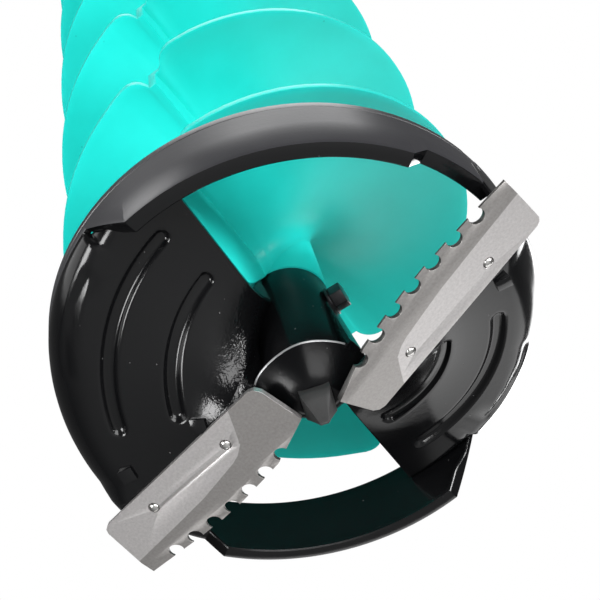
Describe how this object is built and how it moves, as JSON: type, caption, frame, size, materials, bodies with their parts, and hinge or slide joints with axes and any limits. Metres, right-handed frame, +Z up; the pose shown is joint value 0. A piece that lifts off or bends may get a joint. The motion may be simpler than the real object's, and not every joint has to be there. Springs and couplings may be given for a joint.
{
  "type": "ice fishing auger",
  "caption": "Ice auger bit with a ringed steel cutting head, serrated bolt-on blades, two-start composite flighting, a float disc and a quick-release drill shank.",
  "frame": {"origin": "middle of the round drill shank, on the auger's axis", "axes": "+Z up the auger towards the drill; the cutting head is at -Z; -Y faces the side seen from the camera"},
  "size_m": [0.24, 0.24, 0.9987],
  "materials": {
    "black_steel": "gloss black baked paint on pressed steel",
    "point_steel": "rough dark forged steel",
    "blade_steel": "satin ground stainless",
    "zinc_hardware": "bright zinc plate",
    "black_hardware": "black oxide",
    "teal_composite": "semi-gloss moulded composite",
    "zinc_tube": "zinc-plated tube",
    "nylon_washer": "natural nylon",
    "disc_plastic": "fine-textured moulded plastic",
    "spring_steel": "oiled spring steel",
    "adapter_steel": "turned and plated steel"
  },
  "bodies": {
    "auger": {"centering_ring": "black_steel", "cutting_pan_a": "black_steel", "cutting_pan_b": "black_steel", "hub_sleeve": "black_steel", "hub_nose": "black_steel", "centre_point": "point_steel", "blade_a": "blade_steel", "blade_b": "blade_steel", "blade_screws": "zinc_hardware", "hub_bolt": "black_hardware", "hub_washers": "black_hardware", "hub_lock_nut": "black_hardware", "core_tube": "teal_composite", "flight_a_low": "teal_composite", "flight_a_mid": "teal_composite", "flight_a_top": "teal_composite", "flight_b_low": "teal_composite", "flight_b_mid": "teal_composite", "flight_b_top": "teal_composite", "drive_tube": "zinc_tube", "tube_bolt": "zinc_hardware", "tube_washers": "zinc_hardware", "tube_lock_nut": "zinc_hardware", "thrust_washer": "nylon_washer", "retaining_ring": "spring_steel", "drill_adapter": "adapter_steel", "button_spring": "spring_steel"},
    "float_disc": {"float_disc": "disc_plastic"},
    "snap_button": {"snap_button": "adapter_steel"}
  },
  "joints": [
    {"name": "float_disc_spin", "type": "hinge", "parent": "auger", "child": "float_disc", "pos_m": [0, 0, -0.06], "axis": [0, 0, 1], "continuous": true},
    {"name": "snap_button_press", "type": "slide", "parent": "auger", "child": "snap_button", "axis": [-1, 0, 0], "range_m": [0, 0.0046], "stiffness_N_per_m": 900, "springref_m": -0.003, "deforming": ["button_spring"]}
  ]
}
